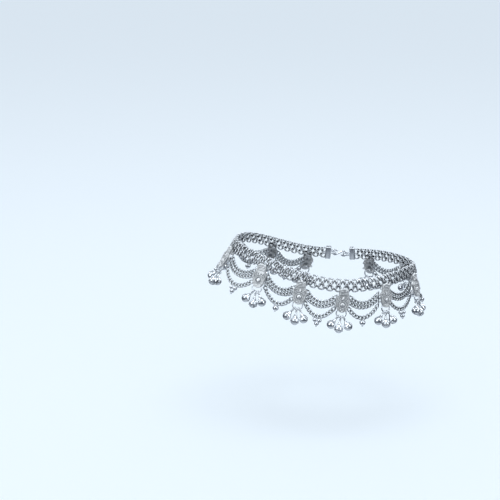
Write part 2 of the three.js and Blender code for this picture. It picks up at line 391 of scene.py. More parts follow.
def silver(name, bright, dark, smooth, rough, bump, grain):
    """Silver that is bright in the open, painted grey as shade down in its crevices with random
    tarnish patches, and duller there.
    """
    material, tree, shader = new_material(name)
    crevice_shade = tree.nodes.new("ShaderNodeAttribute")
    crevice_shade.attribute_name = "crevice_shade"
    tarnish = noise(tree, grain * TARNISH_SCALE, detail=3.0)
    # Painted crevice shade plus random tarnish patches, which the ramp below turns into the
    # silver's colour.
    depth = add_weighted(tree, crevice_shade.outputs["Fac"], tarnish, TARNISH_WEIGHT)
    half_shaded = [channel * HALF_SHADE_BRIGHTNESS for channel in bright]
    stops = [(BRIGHT_DEPTH, bright), (HALF_SHADE_DEPTH, half_shaded), (DARK_DEPTH, dark)]
    tree.links.new(ramp(tree, depth, stops), shader.inputs["Base Color"])
    scratch = noise(tree, grain, detail=5.0)
    dullness = add_weighted(tree, depth, scratch, SCRATCH_WEIGHT)
    roughness = ramp(tree, dullness, [(SMOOTH_DEPTH, grey(smooth)), (ROUGH_DEPTH, grey(rough))])
    tree.links.new(roughness, shader.inputs["Roughness"])
    height = tree.nodes.new("ShaderNodeBump")
    height.inputs["Strength"].default_value = bump
    height.inputs["Distance"].default_value = GRAIN_DEPTH
    tree.links.new(scratch, height.inputs["Height"])
    tree.links.new(height.outputs["Normal"], shader.inputs["Normal"])
    return material


SILVER = silver(
    "polished_silver",
    bright=(0.93, 0.95, 0.98),
    dark=(0.06, 0.07, 0.08),
    smooth=0.14,
    rough=0.4,
    bump=0.25,
    grain=900,
)
CHAIN = silver(
    "chain_silver",
    bright=(0.93, 0.96, 0.99),
    dark=(0.05, 0.06, 0.07),
    smooth=0.14,
    rough=0.4,
    bump=0.2,
    grain=1200,
)
BELLS = silver(
    "bell_silver",
    bright=(0.93, 0.95, 0.98),
    dark=(0.05, 0.055, 0.06),
    smooth=0.08,
    rough=0.3,
    bump=0.12,
    grain=700,
)
FROSTED = silver(
    "frosted_silver",
    bright=(0.98, 0.985, 0.99),
    dark=(0.14, 0.16, 0.185),
    smooth=0.4,
    rough=0.6,
    bump=0.9,
    grain=2600,
)


# ---------------------------------------------------------------- belt

# Rings of flattened wire: the pitch of a row, the wire's half width and half thickness, how
# far a ring is bowed, and how square it is.
WEAVE_PITCH = 4.27
WEAVE_WIRE_WIDTH = 0.45
WEAVE_WIRE = 0.33
WEAVE_BOW = 0.6
WEAVE_SQUARENESS = 3.0
WEAVE_STEPS, WEAVE_SIDES = 28, 10
OUTER_LINK = {"half_width": 1.52, "half_height": 1.35}
MIDDLE_LINK = {"half_width": 1.6, "half_height": 2.12}
BELT_GAP = 7.3


def link_path(half_width, half_height):
    """A rounded square, bowed so that its sides stand proud and its top and foot dip."""
    turn = np.arange(WEAVE_STEPS) / WEAVE_STEPS * TAU
    power = 2 / WEAVE_SQUARENESS
    x = half_width * np.sign(np.cos(turn)) * np.abs(np.cos(turn)) ** power
    y = half_height * np.sign(np.sin(turn)) * np.abs(np.sin(turn)) ** power
    z = WEAVE_BOW * np.cos(2 * turn)
    return np.stack([x, y, z], axis=1)


def weave_links(pitch, row):
    """An outer and a middle link, each with how far its neighbours bury it, as painted crevice
    shade.
    """
    outer, middle = link_path(**OUTER_LINK), link_path(**MIDDLE_LINK)
    outer_points, faces = closed_wire(outer, WEAVE_WIRE, WEAVE_SIDES, width=WEAVE_WIRE_WIDTH)
    middle_points, _ = closed_wire(middle, WEAVE_WIRE, WEAVE_SIDES, width=WEAVE_WIRE_WIDTH)
    beside = np.array([pitch, 0, 0])
    half = np.array([pitch / 2, 0, 0])
    down = np.array([0, row, 0])
    round_outer = [
        outer_points + beside,
        outer_points - beside,
        middle_points + half - down,
        middle_points - half - down,
    ]
    round_middle = [middle_points + beside, middle_points - beside]
    round_middle += [outer_points + x + y for x in (half, -half) for y in (down, -down)]
    outer_shade = buried(outer, outer_points, WEAVE_SIDES, round_outer)
    middle_shade = buried(middle, middle_points, WEAVE_SIDES, round_middle)
    return (outer_points, faces, outer_shade), (middle_points, faces, middle_shade)


def belt_frames(distance):
    """Places on the belt and the directions along it, up square to its slope, and out."""
    place, along, _, up, _ = frames_at(distance)
    up = unit(up - along * np.sum(up * along, axis=-1, keepdims=True))
    return place, along, up, np.cross(along, up)


def set_link(shape, link, distance, height, upright=1):
    """Puts a link on the belt; upright is -1 for one that is turned over, top to foot."""
    points, faces, crevice_shade = link
    place, along, up, out = belt_frames(distance)
    turned = points * [upright, upright, 1]
    placed = place + turned[:, :1] * along + (turned[:, 1:2] + height) * up + turned[:, 2:] * out
    shape.add(placed, faces, crevice_shade)


def make_belt(clasp_at):
    """Two rows of outer links, and a middle row that passes through them both."""
    start = clasp_at + BELT_GAP
    length = LOOP_LENGTH - 2 * BELT_GAP
    columns = round(length / WEAVE_PITCH)
    pitch = length / columns
    row = BELT_HEIGHT / 2 - WEAVE_WIRE_WIDTH - OUTER_LINK["half_height"]
    outer, middle = weave_links(pitch, row)
    shape = Shape()
    for column in range(columns):
        at = start + (column + 0.5) * pitch
        set_link(shape, outer, at, -BELT_HEIGHT / 2 + row)
        set_link(shape, outer, at, -BELT_HEIGHT / 2 - row, upright=-1)
        if column < columns - 1:
            set_link(shape, middle, at + pitch / 2, -BELT_HEIGHT / 2)
    make_piece("belt_weave", shape, SILVER, "silver", "belt")


# ---------------------------------------------------------------- clasp

EYE_CENTRE = 4.2
EYE_RADIUS = 1.6
EYE_WIRE = 0.5
HOOK_WIRE = 0.55
HOOK_BIGHT = 1.6
HOOK_TIP = math.radians(-50)
HOOK_BIGHT_STEPS = 40
CAP_START = 5.4
CAP_LENGTH = 3.0
CAP_THICKNESS = 2.6
CAP_OVERHANG = 0.2
CAP_BEVEL = 0.45
# Painted shade over all of each end cap.
CAP_SHADE = 0.15
CAP_RIBS = (-1.15, -0.55, 1.15)
CAP_RIB_WIRE = 0.2
CAP_RIB_SQUARENESS = 8
CAP_RIB_STEPS = 64


def rounded_block(width, height, depth, bevel):
    """A block with rounded edges about its centre; its faces go by how many corners they have."""
    block = bmesh.new()
    bmesh.ops.create_cube(block, size=1)
    bmesh.ops.scale(block, vec=(width, height, depth), verts=block.verts)
    bmesh.ops.bevel(
        block, geom=block.edges[:], offset=bevel, segments=3, profile=0.5, affect="EDGES"
    )
    points = np.array([v.co for v in block.verts])
    by_corners = {}
    for face in block.faces:
        by_corners.setdefault(len(face.verts), []).append([v.index for v in face.verts])
    block.free()
    return points, [np.array(f) for f in by_corners.values()]


def bend_on_belt(distance, points):
    """A straight shape, x along the belt from a place, bent round it and square to its slope."""
    place, _, up, out = belt_frames(distance + points[:, 0])
    return place + points[:, 1:2] * up + points[:, 2:] * out


def rib_line(x, height, depth):
    """A loop round an end cap, across the belt."""
    turn = np.arange(CAP_RIB_STEPS) / CAP_RIB_STEPS * TAU
    power = 2 / CAP_RIB_SQUARENESS
    y = height / 2 * np.sign(np.sin(turn)) * np.abs(np.sin(turn)) ** power
    z = depth / 2 * np.sign(np.cos(turn)) * np.abs(np.cos(turn)) ** power
    return np.stack([np.full(CAP_RIB_STEPS, x), y - BELT_HEIGHT / 2, z], axis=1)


def make_end_caps(clasp_at):
    """A ribbed cap on each end of the weave, with an eye ring for the hook."""
    shape = Shape()
    height = BELT_HEIGHT + 2 * CAP_OVERHANG
    for side in (-1, 1):
        centre = side * (CAP_START + CAP_LENGTH / 2)
        points, faces = rounded_block(CAP_LENGTH, height, CAP_THICKNESS, CAP_BEVEL)
        points = points + np.array([centre, -BELT_HEIGHT / 2, 0])
        shape.add(bend_on_belt(clasp_at, points), faces, CAP_SHADE)
        for step in CAP_RIBS:
            line = rib_line(centre + side * step, height, CAP_THICKNESS)
            points, faces = closed_wire(line, CAP_RIB_WIRE, sides=8, normal=(1, 0, 0))
            shape.add(bend_on_belt(clasp_at, points), faces)
        points, faces = torus(EYE_RADIUS, EYE_WIRE, steps=32, sides=12, axis="y")
        points = points + np.array([side * EYE_CENTRE, -BELT_HEIGHT / 2, 0])
        shape.add(set_at(clasp_at, points), faces)
    make_piece("belt_end_caps", shape, SILVER, "silver", "belt")


def bight(centre, start, end):
    """One of the hook's two round bends, flat against the ankle."""
    angle = np.linspace(start, end, HOOK_BIGHT_STEPS)
    x, y = centre + HOOK_BIGHT * np.cos(angle), HOOK_BIGHT * np.sin(angle)
    return np.stack([x, y, np.zeros(HOOK_BIGHT_STEPS)], axis=1)


def make_hook(clasp_at):
    """An S of round wire, with each bight round one eye's rim."""
    rim = EYE_CENTRE - EYE_RADIUS
    leave = math.acos(HOOK_BIGHT / rim)
    left = bight(-rim, HOOK_TIP, leave - TAU)
    right = bight(rim, leave - math.pi, HOOK_TIP + math.pi)
    points, faces = open_wire(np.concatenate([left, right]), HOOK_WIRE, sides=12)
    points = points + np.array([0, -BELT_HEIGHT / 2, 0])
    shape = Shape().add(set_at(clasp_at, points), faces)
    make_piece("clasp_hook_wire", shape, SILVER, "silver", "clasp_hook")


# ---------------------------------------------------------------- plaques

PLAQUE_BACK = 1.3
PLAQUE_FACE = 2.35
PLAQUE_TOP = 5.7
PLAQUE_FOOT = 18.1
NECK_FOOT = 8.7
SHOULDER_FOOT = 10.7
FLANK_FOOT = 13.4
HALF_NECK = 2.6
HALF_WIDTH = 3.95
FOOT_TAPER = 0.5
FOOT_ROUNDNESS = 2.2
PLAQUE_ROWS, PLAQUE_COLUMNS = 110, 60
# The columns of points crowd towards the edges, as the sine of angles up to this one does.
COLUMN_CROWDING = math.radians(81)

# Levels of the cast face, above the ground that the relief is measured from.
FACE_LEVEL = 0.45
ORNAMENT_LEVEL = 0.4
BUD_LEVEL = 0.38
BOSS_LEVEL = 0.35

# Ridges of the relief: half width and height. Drops are below the belt's top edge.
BORDER = {"half_width": 0.26, "height": 0.3}
BORDER_INSET, BORDER_BEAD_PITCH = 0.34, 0.62
NECK_RIB = {"half_width": 0.3, "height": 0.42}
NECK_RIB_DROPS = (6.75, 7.5, 8.25)
BOSS_DROP = 14.0
BOSS = {"half_width": 1.3, "height": 0.75}
BEAD_RING = {"half_width": 0.27, "height": 0.34}
BEAD_RING_RADIUS, BEAD_RING_BEADS = 1.85, 16
SHOULDER_SCROLL = {"x": 1.85, "drop": 10.9, "start": -TAU / 4, "turns": 1.35, "radius": 1.05}
SHOULDER_SCROLL_WIRE = {"half_width": 0.2, "height": 0.36}
FOOT_SCROLL = {"x": 2.55, "drop": 16.0, "start": 0.3 * TAU, "turns": 1.0, "radius": 0.7}
FOOT_SCROLL_WIRE = {"half_width": 0.18, "height": 0.3}
SCROLL_STEPS, SCROLL_CLOSING = 70, 0.85
BUD_DROP, BUD_HALF_WIDTH, BUD_HALF_HEIGHT, BUD_HEIGHT = 10.7, 0.62, 1.25, 0.5
FEATHER = {"half_width": 0.17, "height": 0.26}
FEATHER_RADII = (3.0, 3.55)
FEATHER_TOP = 10.9
RAY = {"half_width": 0.34, "height": 0.24}
RAY_PITCH, RAY_SPREAD, RAY_INNER, RAY_OUTER = 0.32, 0.95, 2.15, 2.95

# The hollow back: the relief that is evened out and stands above this level shows as a hollow.
HOLLOW_LEVEL = 0.42
HOLLOW_DEPTH = 0.9

# Granules: x, y and radius.
CROWN = [(-1.65, -5.95, 0.82), (0.0, -5.5, 0.95), (1.65, -5.95, 0.82)]
FOOT_BEADS = [(-0.72, -16.7, 0.5), (0.72, -16.7, 0.5), (0.0, -17.55, 0.55)]
BEAD_LEVEL = 2.2
JUMP_WIRE = 0.26
# Painted shade over the whole jump rings.
JUMP_RING_SHADE = 0.3
JUMP_RINGS = [
    {"across": 1.5, "drop": 7.3, "level": 0.35, "radius": 1.35, "axis": "x"},
    {"across": 3.0, "drop": 11.4, "level": 0.6, "radius": 0.85, "axis": "y"},
    {"across": 3.0, "drop": 14.9, "level": 0.6, "radius": 0.85, "axis": "y"},
]
HOOP_RADIUS = 2.7
HOOP_WIRE = 0.35
HOOP_DROP = 18.3
HOOP_OUT = 1.25


def smooth_step(value, start, end):
    share = np.clip((value - start) / (end - start), 0, 1)
    return share * share * (3 - 2 * share)


def half_width_at(drop):
    """The plaque's outline: narrow ribbed neck, broad body and round foot."""
    body = HALF_NECK + (HALF_WIDTH - HALF_NECK) * smooth_step(drop, NECK_FOOT, SHOULDER_FOOT)
    body = body - FOOT_TAPER * smooth_step(drop, SHOULDER_FOOT, FLANK_FOOT + 1)
    top = np.sqrt(np.clip((drop - PLAQUE_TOP) / 0.5, 0.15, 1))
    fall = np.clip((drop - FLANK_FOOT) / (PLAQUE_FOOT - FLANK_FOOT), 0, 1)
    return body * top * np.sqrt(np.clip(1 - fall**FOOT_ROUNDNESS, 0.0006, 1))


def ridge(distance, half_width, height):
    """The height of a round wire laid on the plaque, at a distance from its middle line."""
    return height * np.sqrt(np.clip(1 - (distance / half_width) ** 2, 0, 1))


def scroll_distance(across, drop, scroll):
    """Distance from a scroll that winds in from its radius to near its centre."""
    share = np.linspace(0, 1, SCROLL_STEPS)
    angle = scroll["start"] + scroll["turns"] * TAU * share
    reach = scroll["radius"] * (1 - SCROLL_CLOSING * share)
    x = scroll["x"] + reach * np.cos(angle)
    y = scroll["drop"] + reach * np.sin(angle)
    return np.hypot(across[..., None] - x, drop[..., None] - y).min(axis=-1)


def beaded_border(x, drop, half):
    """The face with its rounded edge, and a row of fine beads just inside it."""
    edge = half - np.abs(x)
    around = np.where(np.abs(x) > half * 0.5, drop, x)
    beads = 0.75 + 0.25 * np.cos(around * TAU / BORDER_BEAD_PITCH)
    face = FACE_LEVEL * smooth_step(edge, -0.02, 0.25)
    return face + ridge(edge - BORDER_INSET, **BORDER) * beads


def neck_ribs(drop, edge):
    neck = smooth_step(-drop, -NECK_FOOT - 0.1, -NECK_FOOT + 0.2) * smooth_step(edge, 0.4, 0.6)
    ribs = [ridge(drop - at, **NECK_RIB) for at in NECK_RIB_DROPS]
    return ORNAMENT_LEVEL + neck * np.maximum.reduce(ribs)


def bead_ring(from_boss, bearing):
    """A ring of beads round the boss."""
    beads = 0.7 + 0.3 * np.cos(bearing * BEAD_RING_BEADS)
    return ORNAMENT_LEVEL + ridge(from_boss - BEAD_RING_RADIUS, **BEAD_RING) * beads


def scrolls(x, drop, edge):
    """A scroll on each shoulder, and a smaller one on each side of the foot."""
    heights = []
    for side in (-1, 1):
        shoulder = ridge(scroll_distance(x * side, drop, SHOULDER_SCROLL), **SHOULDER_SCROLL_WIRE)
        foot = ridge(scroll_distance(x * side, drop, FOOT_SCROLL), **FOOT_SCROLL_WIRE)
        heights += [shoulder, foot * (edge > 0.35)]
    return ORNAMENT_LEVEL + np.maximum.reduce(heights)


def leaf_bud(x, drop):
    """An upright bud between the shoulder scrolls."""
    reach = np.hypot(x / BUD_HALF_WIDTH, (drop - BUD_DROP) / BUD_HALF_HEIGHT)
    return BUD_LEVEL + ridge(reach, half_width=1.0, height=BUD_HEIGHT)


def feathers(from_boss, drop, edge):
    """Two arcs round the boss's upper half."""
    upper = (drop < BOSS_DROP - 0.3) & (drop > FEATHER_TOP) & (edge > 0.5)
    arcs = [ridge(from_boss - radius, **FEATHER) for radius in FEATHER_RADII]
    return ORNAMENT_LEVEL + upper * np.maximum.reduce(arcs)


def rays(from_boss, bearing):
    """A fan of short rays above the boss."""
    from_top = bearing + math.pi / 2
    off_ray = np.abs((from_top / RAY_PITCH + 0.5) % 1 - 0.5)
    zone = (np.abs(from_top) < RAY_SPREAD) & (from_boss > RAY_INNER) & (from_boss < RAY_OUTER)
    return ORNAMENT_LEVEL + zone * ridge(off_ray, **RAY)


def plaque_relief(x, drop):
    """Heights over the plaque's face: at each point, the highest of its ornaments."""
    half = half_width_at(drop)
    edge = half - np.abs(x)
    from_boss = np.hypot(x, drop - BOSS_DROP)
    bearing = np.arctan2(drop - BOSS_DROP, x)
    ornaments = [
        beaded_border(x, drop, half),
        neck_ribs(drop, edge),
        BOSS_LEVEL + ridge(from_boss, **BOSS),
        bead_ring(from_boss, bearing),
        scrolls(x, drop, edge),
        leaf_bud(x, drop),
        feathers(from_boss, drop, edge),
        rays(from_boss, bearing),
    ]
    return np.maximum.reduce(ornaments)


def blur(values):
    """Values of a grid, each evened out with its neighbours three times over."""
    soft = values.copy()
    for _ in range(3):
        up_and_down = soft[:-2, 1:-1] + soft[2:, 1:-1]
        left_and_right = soft[1:-1, :-2] + soft[1:-1, 2:]
        soft[1:-1, 1:-1] = (soft[1:-1, 1:-1] + up_and_down + left_and_right) / 5
    return soft


def plaque_face():
    """The plaque's closed body: relief face, side walls and hollow back, with painted shade in its
    crevices and hollows.
    """
    drops = np.linspace(PLAQUE_TOP, PLAQUE_FOOT, PLAQUE_ROWS)
    crowded = np.sin(np.linspace(-1, 1, PLAQUE_COLUMNS) * COLUMN_CROWDING)
    across = crowded / math.sin(COLUMN_CROWDING)
    drop, share = np.meshgrid(drops, across, indexing="ij")
    x = share * half_width_at(drop)
    relief = plaque_relief(x, drop)
    front = np.stack([x, -drop, PLAQUE_FACE + relief - FACE_LEVEL], axis=-1)
    blurred = blur(relief)
    hollow = np.clip(blur(blur(blurred)) - HOLLOW_LEVEL, 0, 1)
    hollow = hollow * smooth_step(1 - np.abs(share), 0.02, 0.2)
    back = np.stack([x, -drop, PLAQUE_BACK + HOLLOW_DEPTH * hollow], axis=-1)
    points = np.concatenate([front.reshape(-1, 3), back.reshape(-1, 3)])
    face = grid_faces(PLAQUE_ROWS, PLAQUE_COLUMNS, wrap_columns=False)[:, ::-1]
    count = PLAQUE_ROWS * PLAQUE_COLUMNS
    index = np.arange(count).reshape(PLAQUE_ROWS, PLAQUE_COLUMNS)
    rim = np.concatenate([index[0], index[1:, -1], index[-1, -2::-1], index[-2:0:-1, 0]])
    following = np.roll(rim, -1)
    wall = np.stack([rim, following, following + count, rim + count], axis=1)[:, ::-1]
    # Painted shade: darker where the relief is lower than its blurred surroundings and on the low
    # ground of the face, and in the hollows of the back.
    front_shade = np.clip(0.2 + (blurred - relief) * 6.5 + (0.55 - relief) * 0.7, 0, 1)
    back_shade = np.clip(0.15 + hollow * 1.5, 0, 0.6)
    crevice_shade = np.concatenate([front_shade.ravel(), back_shade.ravel()])
    return points, [face, face[:, ::-1] + count, wall], crevice_shade


PLAQUE_MESH = plaque_face()


def make_plaque(number):
    """The cast face with its granules, and jump rings for the belt and the swags behind it."""
    at = motif_at(number)
    shape = Shape()
    points, faces, crevice_shade = PLAQUE_MESH
    shape.add(set_at(at, points), faces, crevice_shade)
    for x, y, radius in CROWN + FOOT_BEADS:
        points, faces = ball(radius, (x, y, BEAD_LEVEL), segments=20, rows=12)
        # Painted shade on each granule, darker on its side towards the plaque's face.
        crevice_shade = np.clip(0.3 - (points[:, 2] - BEAD_LEVEL) * 0.6, 0, 0.8)
        shape.add(set_at(at, points), faces, crevice_shade)
    for side in (-1, 1):
        for ring in JUMP_RINGS:
            points, faces = torus(ring["radius"], JUMP_WIRE, steps=20, sides=8, axis=ring["axis"])
            place = np.array([side * ring["across"], -ring["drop"], ring["level"]])
            shape.add(set_at(at, points + place), faces, JUMP_RING_SHADE)
    node = f"plaque_{number:02d}"
    make_piece(f"plaque_relief_{number:02d}", shape, FROSTED, "frosted_silver", node)


def make_hoop(number):
    """The polished wire hoop behind the plaque's foot, which carries its bells."""
    points, faces = torus(HOOP_RADIUS, HOOP_WIRE, steps=40, sides=10, axis="z")
    points = points + np.array([0, -HOOP_DROP, HOOP_OUT])
    shape = Shape().add(set_at(motif_at(number), points), faces)
    make_piece(f"hoop_{number:02d}", shape, BELLS, "bell_silver", f"plaque_{number:02d}")


# ---------------------------------------------------------------- bells

BELL_RADIUS = 2.3
BELL_SEGMENTS = 40
BELL_SHOULDER_DEG = 52
BELL_RING_RADIUS = 0.95
BELL_RING_WIRE = 0.3
BELL_SEATS = {"left": (-4.7, 25.2), "middle": (0.0, 27.1), "right": (4.7, 25.2)}
NECK_RADIUS = 0.42
NECK_POWER = 1.9
NECK_STEPS = np.linspace(0.08, 1, 12)
# The collar on the neck: radius, and height above the neck's top.
COLLAR = [(0.6, -0.22), (0.66, -0.05), (0.55, 0.12), (0.0, 0.15)]
COLLAR_DEPTH = 0.25
SEAM_EDGE_DEG = 5
SEAM_HALF_HEIGHT = 0.14
SEAM_PROUD = 0.09
SEAM_CROWN = 0.03
SLOT_HALF_WIDTH = 0.2
SLOT_DEPTH = 0.4
SLOT_END_REACH = 0.8
SLOT_END_RADIUS = 0.26
SLOT_END_RIM = 0.42
GRANULE_COUNT = 18
GRANULE_RADIUS = 0.25
GRANULE_LATITUDE = math.radians(-22)
GRANULE_PROUD = 0.04
SWING_ACROSS = math.radians(1.5)
SWING_OUT = math.radians(4)
BELL_TURN = math.radians(80)
BELL_TURN_SPREAD = math.radians(35)


def bell_profile(neck_top):
    """Lower half, seam, upper half, a neck that sweeps up to the ring, and its collar."""
    low = np.radians(np.linspace(-90, -SEAM_EDGE_DEG, 22))
    high = np.radians(np.linspace(SEAM_EDGE_DEG, BELL_SHOULDER_DEG, 11))
    proud = BELL_RADIUS + SEAM_PROUD
    rows = [(0.0, -BELL_RADIUS)]
    rows += [(BELL_RADIUS * math.cos(a), BELL_RADIUS * math.sin(a)) for a in low[1:]]
    rows += [(proud, -SEAM_HALF_HEIGHT), (proud + SEAM_CROWN, 0.0), (proud, SEAM_HALF_HEIGHT)]
    rows += [(BELL_RADIUS * math.cos(a), BELL_RADIUS * math.sin(a)) for a in high]
    shoulder_radius, shoulder_height = rows[-1]
    rise = neck_top - COLLAR_DEPTH - shoulder_height
    for share in NECK_STEPS:
        radius = NECK_RADIUS + (shoulder_radius - NECK_RADIUS) * (1 - share) ** NECK_POWER
        rows.append((radius, shoulder_height + share * rise))
    return rows + [(radius, neck_top + height) for radius, height in COLLAR]


def cut_slot(points):
    """Presses a slot with round ends into the foot of a bell; also how deep each point lies."""
    radius = np.linalg.norm(points, axis=1)
    low = smooth_step(-points[:, 1], BELL_RADIUS * 0.2, BELL_RADIUS * 0.45)
    aside = np.abs(points[:, 0])
    line = 1 - smooth_step(aside, SLOT_HALF_WIDTH * 0.6, SLOT_HALF_WIDTH * 1.3)
    from_end = np.hypot(aside, np.abs(points[:, 2]) - BELL_RADIUS * SLOT_END_REACH)
    hole = 1 - smooth_step(from_end, SLOT_END_RADIUS, SLOT_END_RIM)
    cut = low * np.maximum(line, hole) * (points[:, 1] < 0)
    inward = 1 - cut * SLOT_DEPTH / np.maximum(radius, 1e-6)
    return points * inward[:, None], cut


def seam_shade(points):
    """Crevice values of the two grooves beside a bell's seam."""
    from_groove = np.abs(np.abs(points[:, 1]) - SEAM_HALF_HEIGHT * 1.6)
    return np.clip(1 - from_groove / 0.12, 0, 1) * 0.6


def granule_row(shape):
    """A row of granules round a bell, just below its seam."""
    distance = BELL_RADIUS + GRANULE_PROUD
    reach = distance * math.cos(GRANULE_LATITUDE)
    height = distance * math.sin(GRANULE_LATITUDE)
    for turn in np.arange(GRANULE_COUNT) / GRANULE_COUNT * TAU:
        centre = (reach * math.cos(turn), height, reach * math.sin(turn))
        points, faces = ball(GRANULE_RADIUS, centre, segments=8, rows=6)
        shape.add(points, faces)


def bell_shape(neck_top, ring_up, beaded):
    """A bell about its own centre, with its neck and the ring on top."""
    shape = Shape()
    points, faces = lathe(bell_profile(neck_top), BELL_SEGMENTS)
    points, cut = cut_slot(points)
    # The slot and the grooves beside the seam get painted shade.
    shape.add(points, faces, np.maximum(np.clip(cut * 1.3, 0, 1), seam_shade(points)))
    points, faces = torus(BELL_RING_RADIUS, BELL_RING_WIRE, steps=24, sides=8, axis="x")
    shape.add(points + np.array([0, ring_up, 0]), faces)
    if beaded:
        granule_row(shape)
    return shape


def swing(number, seat, axis):
    """Small, steady differences in how the bells have come to rest."""
    return math.sin(number * 2.4 + seat * 1.7 + axis * 2.1)


def make_bell(number, seat, name):
    """A bell that hangs from its plaque's hoop, straight out from the hoop's centre."""
    across, drop = BELL_SEATS[name]
    reach = math.hypot(across, drop - HOOP_DROP)
    lean = math.atan2(across, drop - HOOP_DROP)
    ring_up = reach - HOOP_RADIUS
    neck_top = ring_up - BELL_RING_RADIUS
    points, faces, crevice_shade = bell_shape(neck_top, ring_up, name == "middle").merged()
    spun = rotated(points, "y", BELL_TURN + swing(number, seat, 2) * BELL_TURN_SPREAD)
    points = np.where(points[:, 1:2] < neck_top, spun, points)
    points = points - np.array([0, ring_up, 0])
    points = rotated(points, "x", SWING_OUT * swing(number, seat, 1))
    points = rotated(points, "z", SWING_ACROSS * swing(number, seat, 0))
    points = rotated(points - np.array([0, HOOP_RADIUS, 0]), "z", lean)
    points = points + np.array([0, -HOOP_DROP, HOOP_OUT])
    placed = Shape().add(set_at(motif_at(number), points), faces, crevice_shade)
    node = f"bell_{number:02d}_{name}"
    make_piece(f"ghungroo_{number:02d}_{name}", placed, BELLS, "bell_silver", node)


# ---------------------------------------------------------------- swags

CHAIN_OUT = -0.1
LINK_PITCH = 1.9
LINK_HALF_LENGTH = 1.32
LINK_HALF_HEIGHT = 0.94
LINK_TWIST = 0.32
LINK_WIRE = 0.28
LINK_WIRE_WIDTH = 0.36
LINK_STEPS, LINK_SIDES = 20, 8
LINK_AIM = 0.5
SWAG_SAMPLES = 200
UPPER_CHAIN = {"inset": 2.6, "end_drop": 10.2, "mid_drop": 14.9}
LOWER_CHAIN = {"inset": 3.3, "end_drop": 15.6, "mid_drop": 21.7}
DOUBLE_OFFSET = 1.04
END_BAR_INSET = 3.2
END_BAR_TOP = 8.9
END_BAR_BOTTOM = 16.0
END_BAR_WIRE = 0.38
END_BAR_STEPS = 8
# Painted shade over the whole end bars.
END_BAR_SHADE = 0.1
TREFOIL_BEAD = 1.25
TREFOIL_ACROSS = 1.15
TREFOIL_UPPER = 2.1
TREFOIL_LOWER = 3.95
BALL_BEAD = 1.6
BALL_DROP = 2.6


def curb_link():
    """A twisted oval link, so that each lies over one neighbour and under the other."""
    turn = np.arange(LINK_STEPS) / LINK_STEPS * TAU
    x = LINK_HALF_LENGTH * np.cos(turn)
    y = LINK_HALF_HEIGHT * np.sin(turn)
    z = LINK_TWIST * np.sin(2 * turn)
    path = np.stack([x, y, z], axis=1)
    points, faces = closed_wire(path, LINK_WIRE, LINK_SIDES, width=LINK_WIRE_WIDTH)
    near = [points + [steps * LINK_PITCH, 0, 0] for steps in (-2, -1, 1, 2)]
    # How far the neighbouring links bury each point, painted as shade.
    return points, faces, buried(path, points, LINK_SIDES, near)


CURB_LINK = curb_link()


def swag_line(chain, start, offset=0.0):
    """Distance and height along a hanging chain, moved sideways by offset."""
    share = np.linspace(0, 1, SWAG_SAMPLES)
    x = start + chain["inset"] + share * (PITCH - 2 * chain["inset"])
    hang = 1 - (2 * share - 1) ** 2
    y = -chain["end_drop"] - (chain["mid_drop"] - chain["end_drop"]) * hang
    line = np.stack([x, y], axis=1)
    ahead = unit(np.gradient(line, axis=0))
    return line + offset * np.stack([-ahead[:, 1], ahead[:, 0]], axis=1)


def points_along(path, walked, places):
    """Points of a path at the given distances walked along it."""
    return np.stack([np.interp(places, walked, path[:, axis]) for axis in range(3)], axis=1)


def hang_chain(shape, line):
    """Curb links at even steps along a line on the hanging work's surface."""
    points, faces, crevice_shade = CURB_LINK
    path = on_surface(line[:, 0], line[:, 1], CHAIN_OUT)
    walked = np.concatenate([[0], np.cumsum(np.linalg.norm(np.diff(path, axis=0), axis=1))])
    count = round((walked[-1] - 2 * LINK_HALF_LENGTH) / LINK_PITCH) + 1
    places = np.linspace(LINK_HALF_LENGTH, walked[-1] - LINK_HALF_LENGTH, count)
    centres = points_along(path, walked, places)
    aheads = unit(points_along(path, walked, places + LINK_AIM) - centres)
    _, _, _, _, surface_out = frames_at(np.interp(places, walked, line[:, 0]))
    rises = unit(np.cross(surface_out, aheads))
    outs = np.cross(aheads, rises)
    for centre, ahead, rise, out in zip(centres, aheads, rises, outs):
        placed = centre + points[:, :1] * ahead + points[:, 1:2] * rise + points[:, 2:] * out
        shape.add(placed, faces, crevice_shade)


def add_end_bar(shape, distance):
    """The upright wire that the ends of a bay's chains are soldered to."""
    heights = np.linspace(-END_BAR_TOP, -END_BAR_BOTTOM, END_BAR_STEPS)
    bar = on_surface(np.full(END_BAR_STEPS, distance), heights, CHAIN_OUT)
    _, _, _, _, out = frames_at(distance)
    points, faces = open_wire(bar, END_BAR_WIRE, sides=8, normal=out)
    shape.add(points, faces, END_BAR_SHADE)


def make_upper_swag(number):
    """The double chain of a bay."""
    shape = Shape()
    for offset in (-DOUBLE_OFFSET, DOUBLE_OFFSET):
        hang_chain(shape, swag_line(UPPER_CHAIN, motif_at(number), offset))
    node = f"swag_{number:02d}"
    make_piece(f"upper_swag_{number:02d}", shape, CHAIN, "chain_silver", node)


def make_lower_swag(number):
    """The single chain of a bay, and the bars at both ends of all its chains."""
    shape = Shape()
    start = motif_at(number)
    hang_chain(shape, swag_line(LOWER_CHAIN, start))
    add_end_bar(shape, start + END_BAR_INSET)
    add_end_bar(shape, start + PITCH - END_BAR_INSET)
    node = f"swag_{number:02d}"
    make_piece(f"lower_swag_{number:02d}", shape, CHAIN, "chain_silver", node)


def trefoil_beads(chain_height):
    """Radius, x and y of three beads, the granule between them and the one at their foot."""
    upper = chain_height - TREFOIL_UPPER
    lower = chain_height - TREFOIL_LOWER
    return [
        (TREFOIL_BEAD, -TREFOIL_ACROSS, upper),
        (TREFOIL_BEAD, TREFOIL_ACROSS, upper),
        (TREFOIL_BEAD, 0, lower),
        (0.5, 0, upper - 0.2),
        (0.42, 0, lower - TREFOIL_BEAD - 0.2),
    ]


